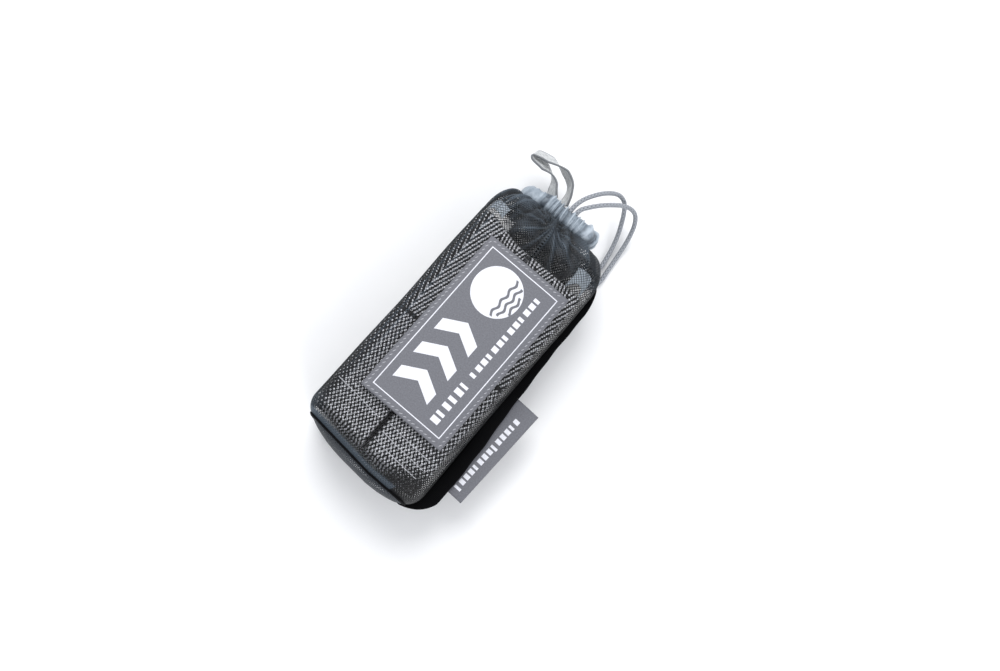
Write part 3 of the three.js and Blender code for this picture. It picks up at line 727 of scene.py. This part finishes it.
# close weave: pale flecks 1.65 mm apart across and in rows 1.4 mm apart, every other row shifted
close = {0: ripple(tree, along, 2.8), 1: ripple(tree, across, 1.65)}
close = add(tree, "Math", close, operation="MULTIPLY")
close = add(tree, "Math", {0: close, 1: 1.6}, operation="MULTIPLY")
sewn_part = add(tree, "Attribute", attribute_name="sewn_end", attribute_type="GEOMETRY")
weave = {"Factor": sewn_part.outputs["Fac"], "A": coarse, "B": close}
weave = add(tree, "Mix", weave, data_type="FLOAT")
weave = add(tree, "Math", {0: wander, 1: 1.5, 2: weave}, operation="MULTIPLY_ADD")
# painted shade: the left strap's outer edge is painted darker with fewer flecks, and the strap's
# cut end is painted dark as the shade of the gap at its end
place_x = add(tree, "SeparateXYZ", {"Vector": place}).outputs["X"]
edge_darkening = {"Value": place_x, "From Min": -0.0236, "From Max": -0.0258, "To Max": -0.9}
end_shade_low, end_shade_high = path_length - 1.9, path_length - 1.3
painted_end_shade = {"Value": along, "From Min": end_shade_low, "From Max": end_shade_high, "To Max": -3}
for edge in (edge_darkening, painted_end_shade):
    edge = add(tree, "MapRange", edge)
    weave = add(tree, "Math", {0: weave, 1: edge}, operation="ADD")
flecks = add(tree, "MapRange", {"Value": weave, "From Min": 0.2, "From Max": 2.0})
stops = ((0.27, "#141418"), (0.33, "#44444c"), (0.44, "#f6f7fd"))
surface(tree, shader, add(tree, "ValToRGB", {"Fac": flecks}, stops=stops), weave, 0.7, 0.0003)


def leaned(x, y):
    """y of a point of the packs: settled with the sack, and pushed up at the left of the mouth."""
    return settled(x, y) + 4 * np.clip((-x - 8) / 16, 0, 1) * np.clip((y - 28) / 18, 0, 1)


def pressed(x, z):
    """How the sack's rounded sides press the packs together away from the middle."""
    return middle_z + (z - middle_z) * (1 - np.abs(x / 28.7) ** 5) ** 0.2


def folded(x, run):
    """Where a point of a strap lies in the pack, from its x and its share of the strap's run."""
    at = run * (len(path) - 1)
    y, z = (np.interp(at, np.arange(len(path)), path[:, k]) for k in (0, 1))
    return x, leaned(x, y), pressed(x, z)


for name, start in (("left", -web_gap - web_width), ("right", 0.2)):

    def strap(u, v):
        return folded(start + u * web_width, v)

    webbing = laid("strap_webbing_" + name, 18, len(path) - 1, strap, (web_width, path_length))
    run = np.zeros(len(webbing.data.vertices))
    corners = webbing.data.uv_layers[0].data
    for loop in webbing.data.loops:
        run[loop.vertex_index] = corners[loop.index].uv.y
    marked(webbing.data, "sewn_end", run > path_length - web_sewn)
    thicken(webbing, web_thick * 0.001, 0)
    fit(webbing, herringbone, "sack", "webbing", "webbing_" + name)


# Ropes: each strap runs on into a 2.7 mm hollow-braid rope, coiled flat into a hank of two by three
# turns behind the webbing. Its spliced eye stands in the neck.
rope_thick = 2.7
hank_width = web_width - 2
hank_low = pack_low + 12.5
hank_high = pack_high - 7
eye_half = 5.1
eye_high = 5.4
charcoal_rope = braided("hollow_braid_polyester_rope", "#141517", "#47494e", 10, 3.0, 0.7)


def racetrack(straight_length, radius):
    """One flat turn of a hank: two straights joined by half circles."""
    angle = np.linspace(0, 2 * math.pi, 721)
    across = radius * np.cos(angle)
    along = radius * np.sin(angle) + np.sign(np.sin(angle)) * straight_length / 2
    return evenly(np.stack([across, along], axis=1), 1.6)


for name, side in (("left", -1), ("right", 1)):
    for number in range(6):
        nest, level = number % 2, number // 2
        radius = (hank_width - rope_thick) / 2 - nest * rope_thick
        loop = racetrack(hank_high - hank_low - hank_width, radius)
        x = side * (web_width + 1.6) / 2 + loop[:, 0]
        y = (hank_low + hank_high) / 2 + loop[:, 1]
        z = pressed(x, 1.4 + rope_thick * (level + 0.5)) + 0.1 * np.sin(y / 4 + number)
        line = np.stack([x, settled(x, y), z], axis=1)
        turn_name = f"rope_hank_{name}_turn_{number + 1}"
        coil = corded(turn_name, line, rope_thick / 2 * 0.98, 10, closed=True)
        fit(coil, charcoal_rope, "sack", "rope", "rope_hank_" + name)
    eye_x = side * 9.65
    bow = [
        (eye_x + eye_half * math.cos(a), 54.36 + eye_high * math.sin(a), 17)
        for a in np.linspace(-0.42 * math.pi, 1.42 * math.pi, 40)
    ]
    legs = [[(eye_x + s * 0.9, 45.4, 16.6), (eye_x + s * 1.0, 47.4, 17)] for s in (1, -1)]
    line = smooth_line([*legs[0], *bow[2:-2], *legs[1][::-1]], 0.8)
    eye = corded(f"rope_eye_{name}_spliced", line, rope_thick / 2, 12)
    fit(eye, charcoal_rope, "sack", "rope", "rope_eye_" + name)


# Drawcord channel: a folded strip of thin blue-grey nylon sewn round the neck. The drawcord bunches
# it into close gathers at the front, and the slack end beside the mouth stands in a smooth bulge.
nylon, tree, shader = finish(
    "plain_weave_nylon_taffeta", Roughness=0.5, Sheen_Weight=0.4, Sheen_Roughness=0.3
)
place = add(tree, "TexCoord").outputs["Object"]
weft = add(tree, "TexNoise", {"Vector": place, "Scale": 1500, "Detail": 3, "Roughness": 0.7})
crease = add(tree, "TexNoise", {"Vector": place, "Scale": 520, "Detail": 5, "Distortion": 0.8})
# painted highlights and shade: the crests of the gathers are painted paler than the valleys, and
# the tuck beside the bulge is painted dark
painted_light_and_tone = add(tree, "Attribute", attribute_name="painted_light_and_tone", attribute_type="GEOMETRY").outputs["Fac"]
deep = add(tree, "Math", {0: crease, 1: 0.6, 2: painted_light_and_tone}, operation="MULTIPLY_ADD")
stops = ((0.2, "#414a54"), (0.64, "#87929d"), (1, "#b4bec8"))
height = add(tree, "Math", {0: weft, 1: 0.35, 2: crease}, operation="MULTIPLY_ADD")
surface(tree, shader, add(tree, "ValToRGB", {"Fac": deep}, stops=stops), height, 0.6, 0.0004)
channel_y = 69.3
channel_z = 22.157
channel_straight = 22.0
channel_bend = 5.0
channel_out = 3.1
channel_up = 3.8
angle = np.linspace(0, 2 * math.pi, 1441)
straight = np.sign(np.cos(angle)) * channel_straight / 2
roll = [channel_bend * np.cos(angle) + straight, channel_bend * np.sin(angle)]
roll = evenly(np.stack(roll, axis=1), 0.25)
roll_length = length_of(roll)


def channel(u, v):
    """u goes round the mouth, v round the folded strip."""
    at = u * (len(roll) - 1)
    cx = np.interp(at, np.arange(len(roll)), roll[:, 0])
    cz = np.interp(at, np.arange(len(roll)), roll[:, 1])
    core = np.clip(cx, -channel_straight / 2, channel_straight / 2)
    nx, nz = (cx - core) / channel_bend, cz / channel_bend
    run = u * roll_length
    section = 2 * math.pi * v
    gather = 1 - 0.85 * np.clip((-cx - 7.5) / 4, 0, 1) * (cz > -4)
    wander = run + 0.75 * np.sin(run / 1.7) + 0.5 * np.sin(run / 3.9 + 2)
    wander = wander + 0.35 * np.sin(section + run / 5)
    crest = 1 - 1.9 * np.abs(np.sin(wander * math.pi / 2.9)) ** 0.55
    fine = np.sin(wander * 4.3 + 2.2 * np.sin(section))
    fine = fine + np.sin(wander * 6.7 + 1.1 + 3 * np.cos(section))
    fold = crest * (0.75 + 0.35 * np.sin(run / 2.3)) + 0.16 * fine
    swell = 0.25 * np.sin(run / 4.1 + 1) + 0.55 * fold * gather
    bulge = 0.7 * (1 - gather)
    out = (channel_out + swell + bulge) * rounded(np.cos(section), 0.75)
    frill = 0.8 * fold * gather * np.clip(np.sin(section), 0, 1)
    up = (channel_up + 0.35 * swell + 0.4 * bulge) * np.sin(section) + frill
    up = up - 2.6 * (1 - gather)
    # painted shade in the tuck beside the bulge, and painted highlights on the crests of the
    # gathers
    painted_tuck_shade = 0.5 * np.exp(-(((cx + 8.2) / 1.1) ** 2)) * (cz > 0)
    painted_light_and_tone = np.clip(np.clip(0.45 + 0.5 * fold * gather, 0, 1) - painted_tuck_shade, 0, 1)
    return neck_x + cx + nx * out, channel_y + up, channel_z + cz + nz * out, painted_light_and_tone


casing = laid("drawcord_casing", 480, 36, channel)
facings = []
# the strip's two lower corners lie inside the shoulder, and show through the net
for name, first, last, lift in (("left", -1.2, -0.42, 0.07), ("right", 0.36, 0.95, 0)):

    def facing(u, v):
        along = 2.01 + lift + (0.26 - lift) * v - 0.05 * (2 * u - 1) ** 2
        painted_light_and_tone = 0.8 + 0.2 * np.sin(u * 9 + v * 4)
        return *sack_point(along, first + (last - first) * u, -1.9), painted_light_and_tone

    flap = laid("channel_facing_" + name, 24, 14, facing)
    thicken(flap, 0.0002, 0)
    facings.append(flap)
for piece in (casing, *facings):
    fit(piece, nylon, "sack", "channel_cloth", "drawcord_channel")


# Label: a grey satin-weave patch sewn flat on the front, with a white screen print. The print here
# is a plain frame, a disc with three ripples, three chevrons and a dashed rule.
label_half = (20.5, 40.0)
label_x = 3.0


def front_height(x, y):
    """z of the filled sack's front."""
    return middle_z + half_depth * (1 - np.abs(x / (half_width + hips(y))) ** 5) ** 0.2


def label_point(x, y, lift=0.0):
    """A point of the label's face, x and y from its middle, raised by lift."""
    near = np.minimum(label_half[0] - np.abs(x), label_half[1] - np.abs(y))
    pucker = 0.07 * np.sin(x * 1.9) * np.sin(y * 1.7) * np.clip(1 - near / 4, 0, 1)
    edge = 0.25 * np.clip(1 - near / 0.5, 0, 1) ** 2
    seam_dip = 0.12 * np.exp(-(((near - 1.3) / 0.45) ** 2))
    z = front_height(x + label_x, y) + 1.1 + pucker - edge - seam_dip
    z = z + 0.06 * np.sin(x / 6 + y / 9)
    return x + label_x, y, z + lift


satin, tree, shader = finish(
    "grey_satin_label_cloth", Roughness=0.6, Sheen_Weight=0.2, Sheen_Roughness=0.4
)
across, along = across_and_along(tree)
cross = {0: ripple(tree, across, 0.55), 1: ripple(tree, along, 0.55)}
cross = add(tree, "Math", cross, operation="MULTIPLY")
place = add(tree, "TexCoord").outputs["UV"]
grain = add(tree, "TexNoise", {"Vector": place, "Scale": 1.6, "Detail": 6, "Roughness": 0.7})
mixed = add(tree, "Math", {0: cross, 1: 0.1, 2: grain}, operation="MULTIPLY_ADD")
tone = add(tree, "ValToRGB", {"Fac": mixed}, stops=((0.3, "#5b5c62"), (0.7, "#74757c")))
surface(tree, shader, tone, mixed, 0.5, 0.00015)


def patch(u, v):
    """The whole label, u across it and v along it."""
    return label_point((u - 0.5) * 2 * label_half[0], (v - 0.5) * 2 * label_half[1])


label = laid("front_label_patch", 82, 160, patch, (2 * label_half[0], 2 * label_half[1]))
thicken(label, 0.0007, -1)
fit(label, satin, "sack", "label_cloth", "front_label")

# Print: white ink put on through a screen, matte, and slightly broken where the weave shows
# through it.
ink, tree, shader = finish("white_screen_ink", Roughness=0.55)
place = add(tree, "TexCoord").outputs["Object"]
grain = add(tree, "TexNoise", {"Vector": place, "Scale": 1400, "Detail": 3})
tone = add(tree, "ValToRGB", {"Fac": grain}, stops=((0.25, "#d5d6de"), (1, "#f6f6fb")))
surface(tree, shader, tone, grain, 0.2, 0.00005)


def printed(name, shapes, point, lift, material, body, slot):
    """Flat printed shapes, drawn with bmesh in mm and laid on the cloth."""
    bm = bmesh.new()
    for outline in shapes:
        bm.faces.new([bm.verts.new((x, y, 0)) for x, y in outline])
    bmesh.ops.recalc_face_normals(bm, faces=bm.faces)
    bmesh.ops.triangulate(bm, faces=bm.faces)
    for step in np.arange(-40, 41, 2.0):
        for normal in (Vector((1, 0, 0)), Vector((0, 1, 0))):
            everything = bm.verts[:] + bm.edges[:] + bm.faces[:]
            bmesh.ops.bisect_plane(
                bm, geom=everything, plane_co=normal * step, plane_no=normal, dist=1e-5
            )
    for face in bm.faces:
        if face.normal.z < 0:
            face.normal_flip()
    for vert in bm.verts:
        vert.co = Vector(point(vert.co.x, vert.co.y, lift)) * 0.001
    mesh = bpy.data.meshes.new(name)
    bm.to_mesh(mesh)
    bm.free()
    fit(shown(name, mesh), material, body, slot)


def bar(x, y, width, height):
    """A rectangle, from its lower left corner."""
    return [(x, y), (x + width, y), (x + width, y + height), (x, y + height)]


frame_x, frame_y, rule = 17.2, 36.6, 0.42
disc_x, disc_y, disc_radius = -3.6, 23.2, 10.8
shapes = [
    bar(-frame_x, -frame_y, rule, 2 * frame_y),
    bar(frame_x - rule, -frame_y, rule, 2 * frame_y),
    bar(-frame_x + rule, -frame_y, 2 * (frame_x - rule), rule),
    bar(-frame_x + rule, frame_y - rule, 2 * (frame_x - rule), rule),
    [
        (disc_x + disc_radius * math.cos(a), disc_y + disc_radius * math.sin(a))
        for a in np.linspace(0, 2 * math.pi, 72, endpoint=False)
    ],
]
chevron = [(-13.2, 0), (-4.2, 5), (4.8, 0), (4.8, 5.6), (-4.2, 10.6), (-13.2, 5.6)]
for low in (-29.5, -17.0, -4.5):
    shapes.append([(x, low + y) for x, y in chevron])
for i, length in enumerate((3.2, 1.8, 2.6, 2.2, 3.0, 1.6)):
    shapes.append(bar(9.2, -33.0 + i * 3.6, 3.8, length * 0.8))
for i in range(13):
    shapes.append(bar(9.6, -9.5 + i * 3.3, 2.6, 2.4 if i % 3 else 1.5))
printed("label_print", shapes, label_point, 0.05, ink, "sack", "label_cloth")
waves = []
for x in (-0.4, 2.4, 5.0):  # three ripples across the lower part of the disc
    reach = math.sqrt(10.4**2 - (x + 4.2) ** 2) - 0.6
    ys = np.linspace(disc_y - reach, disc_y + reach, 31)
    crest = [(x + 0.55 * math.sin((y - disc_y) * 1.15), float(y)) for y in ys]
    waves.append(crest + [(wx + 1.15, wy) for wx, wy in reversed(crest)])
printed("label_print_ripples", waves, label_point, 0.09, satin, "sack", "label_cloth")

# Label stitches: slanting stitches of grey bonded thread, which hold the label down all round,
# 1.35 mm in from its edge.
thread, tree, shader = finish("bonded_nylon_thread", Roughness=0.45)
place = add(tree, "TexCoord").outputs["Object"]
twist = add(tree, "TexNoise", {"Vector": place, "Scale": 3000, "Detail": 2})
surface(tree, shader, add(tree, "ValToRGB", {"Fac": twist}, stops=((0, "#9a9ba1"), (1, "#cfd0d5"))))


def stitched(name, seats, point, length, radius, slot):
    """One small lens of thread at each seat: x, y and the way it points."""
    bm = bmesh.new()
    for x, y, heading in seats:
        made = bmesh.ops.create_uvsphere(bm, u_segments=6, v_segments=4, radius=1)["verts"]
        level = Matrix.Rotation(math.pi / 2, 3, "Y")
        bmesh.ops.rotate(bm, verts=made, cent=(0, 0, 0), matrix=level)
        bmesh.ops.scale(bm, verts=made, vec=(length / 2, radius, radius * 0.8))
        bmesh.ops.rotate(bm, verts=made, cent=(0, 0, 0), matrix=Matrix.Rotation(heading, 3, "Z"))
        bmesh.ops.translate(bm, verts=made, vec=Vector(point(x, y, 0.0)))
    bmesh.ops.scale(bm, verts=bm.verts, vec=(0.001, 0.001, 0.001))
    mesh = bpy.data.meshes.new(name)
    bm.to_mesh(mesh)
    bm.free()
    fit(shown(name, mesh), thread, "sack", slot)


stitch_inset = 1.35
stitch_pitch = 2.1
side_x, side_y = label_half[0] - stitch_inset, label_half[1] - stitch_inset
seats = []
for y in np.arange(-38.2, 38.3, stitch_pitch):
    seats += [(x, float(y), math.radians(62)) for x in (-side_x, side_x)]
for x in np.arange(-17.6, 17.7, stitch_pitch):
    seats += [(float(x), y, math.radians(28)) for y in (-side_y, side_y)]
stitched("label_stitches", seats, label_point, 1.7, 0.16, "label_cloth")


# Stay stitches: short rows of the same pale thread across the front near the base, one over the
# left strap and three over the right. They go through the net and the sewn straps.
def stay_seat(x, y, lift):
    return x, y, front_height(x, y) + 0.14 + lift


seats = [(x, settled(x, -46 - 0.06 * x), 0.06) for x in np.arange(-25, -3.5, 1.7)]
for low in (-44.5, -48.8, -53.0):
    seats += [(x, settled(x, low - 0.05 * x), 0.05) for x in np.arange(2.2, 24, 1.7)]
stitched("stay_stitches", seats, stay_seat, 1.8, 0.17, "webbing")


# Side tag: a woven grey tag caught in the side seam near the base. A plain dashed rule is printed
# along it.
tag_size = (12.6, 47.5)
tag_centre = (37.7, -24.95)
tag_z = 18.62
tag_tilt = 0.035


def tag_point(x, y, lift=0.0):
    """x and y from the tag's middle."""
    c, s = math.cos(tag_tilt), math.sin(tag_tilt)
    curl = 0.25 * np.sin((y + 4) / 12) * (x / tag_size[0] + 0.5)
    return tag_centre[0] + x * c + y * s, tag_centre[1] - x * s + y * c, tag_z + curl + lift


def tag_form(u, v):
    return tag_point((u - 0.5) * tag_size[0], (v - 0.5) * tag_size[1])


tag = laid("side_tag_cloth", 14, 48, tag_form, tag_size)
thicken(tag, 0.0007, -1)
fit(tag, satin, "side_tag", "tag_cloth", "side_tag")
shapes = []
for i in range(14):
    width, height = 3.2 if i in (0, 8) else 2.6, 1.9 if i % 4 else 1.2
    shapes.append(bar(-0.4, -20.6 + i * 2.75, width, height))
printed("tag_print", shapes, tag_point, 0.04, ink, "side_tag", "tag_cloth")


# Hang loop: a doubled length of light grey grosgrain tape, sewn in beside the mouth and flopped
# over to one side. Its selvage is a thin darker cord.
tape_width = 8.5
loop_z = 19
loop_root = 74.6
loop_middle = [  # x, and y from the root
    (-11.3, 0), (-13.2, 2.6), (-14.9, 5.4), (-17.8, 7.4), (-23, 8.2), (-28.3, 8.9), (-29.2, 10.2),
    (-26.4, 11.4), (-20.5, 12.3), (-14.2, 12), (-8.7, 9), (-6.5, 5), (-5.6, 0),
]
silver_tape, tree, shader = finish(
    "grey_nylon_grosgrain", Roughness=0.5, Sheen_Weight=0.2, Sheen_Roughness=0.4
)
place = add(tree, "TexCoord").outputs["Object"]
across, along = across_and_along(tree)
ribs = {0: ripple(tree, along, 0.7), 1: ripple(tree, across, 0.8)}
ribs = add(tree, "Math", ribs, operation="MULTIPLY")
edge = add(tree, "Math", {0: across, 1: tape_width / 2}, operation="SUBTRACT")
edge = add(tree, "Math", {0: edge}, operation="ABSOLUTE")
edge_darkening = {"From Min": tape_width / 2 - 0.7, "From Max": tape_width / 2 - 0.3, "To Max": -1.6}
edge_darkening = add(tree, "MapRange", {"Value": edge, **edge_darkening})
fuzz = add(tree, "TexNoise", {"Vector": place, "Scale": 800, "Detail": 3})
worn = add(tree, "Math", {0: ribs, 1: 0.4, 2: fuzz}, operation="MULTIPLY_ADD")
worn = add(tree, "Math", {0: worn, 1: edge_darkening}, operation="ADD")
tone = add(tree, "ValToRGB", {"Fac": worn}, stops=((0.05, "#6f7276"), (0.75, "#dcdede")))
surface(tree, shader, tone, worn, 0.6, 0.0002)
loop_line = smooth_line([(x, loop_root + y, 0) for x, y in loop_middle], 0.6)


def flopped(u, v):
    """The tape stands on edge at its root and lies over at its far end."""
    at = v * (len(loop_line) - 1)
    x, y = (np.interp(at, np.arange(len(loop_line)), loop_line[:, k]) for k in (0, 1))
    across = (u - 0.5) * tape_width
    flop = np.clip((-14 - x) / 8, 0, 1)
    low = np.clip((loop_root + 7 - y) / 7, 0, 1)
    lean_x, lean_y = (0.2 + 0.3 * low) * (1 - flop), -0.62 * flop
    upright = np.sqrt(1 - lean_x**2 - lean_y**2)
    wavy = 0.12 * np.sin(at / 9)
    return x + across * lean_x, y + across * lean_y + wavy, loop_z + across * upright


loop_size = (tape_width, length_of(loop_line))
loop_tape = laid("hang_loop_tape", 12, len(loop_line) - 1, flopped, loop_size)
thicken(loop_tape, 0.00075, 0)
fit(loop_tape, silver_tape, "hang_loop", "hang_tape", "hang_loop")


# Studio: a pale matte floor, a large soft light overhead and a weaker one from the lower right.
paper, tree, shader = finish("pale_paper_floor", Roughness=0.9)
place = add(tree, "TexCoord").outputs["Object"]
fibre = add(tree, "TexNoise", {"Vector": place, "Scale": 30, "Detail": 4})
surface(tree, shader, add(tree, "ValToRGB", {"Fac": fibre}, stops=((0, "#f4f4f5"), (1, "#fafafa"))))
bm = bmesh.new()
bmesh.ops.create_grid(bm, x_segments=1, y_segments=1, size=3)
bmesh.ops.translate(bm, verts=bm.verts, vec=(0, 0, -0.0002))
mesh = bpy.data.meshes.new("floor")
bm.to_mesh(mesh)
bm.free()
floor = bpy.data.objects.new("floor", mesh)
bpy.context.scene.collection.objects.link(floor)
floor.data.materials.append(paper)

for name, place, size, power in (
    ("key_light", (-0.45, 0.5, 0.9), 0.7, 9),
    ("fill_light", (0.7, -0.35, 0.6), 0.6, 4),
):
    light = bpy.data.objects.new(name, bpy.data.lights.new(name, "AREA"))
    light.data.size = size
    light.data.energy = power
    light.location = place
    beam = Vector((0, 0, 0.02)) - Vector(place)
    light.rotation_euler = beam.to_track_quat("-Z", "Y").to_euler()
    bpy.context.scene.collection.objects.link(light)
world = bpy.data.worlds.new("studio")
world.use_nodes = True
sky = world.node_tree.nodes["Background"]
sky.inputs["Color"].default_value = linear("#f2f5fa")
sky.inputs["Strength"].default_value = 0.7
bpy.context.scene.world = world
bpy.context.scene.view_settings.view_transform = "Standard"
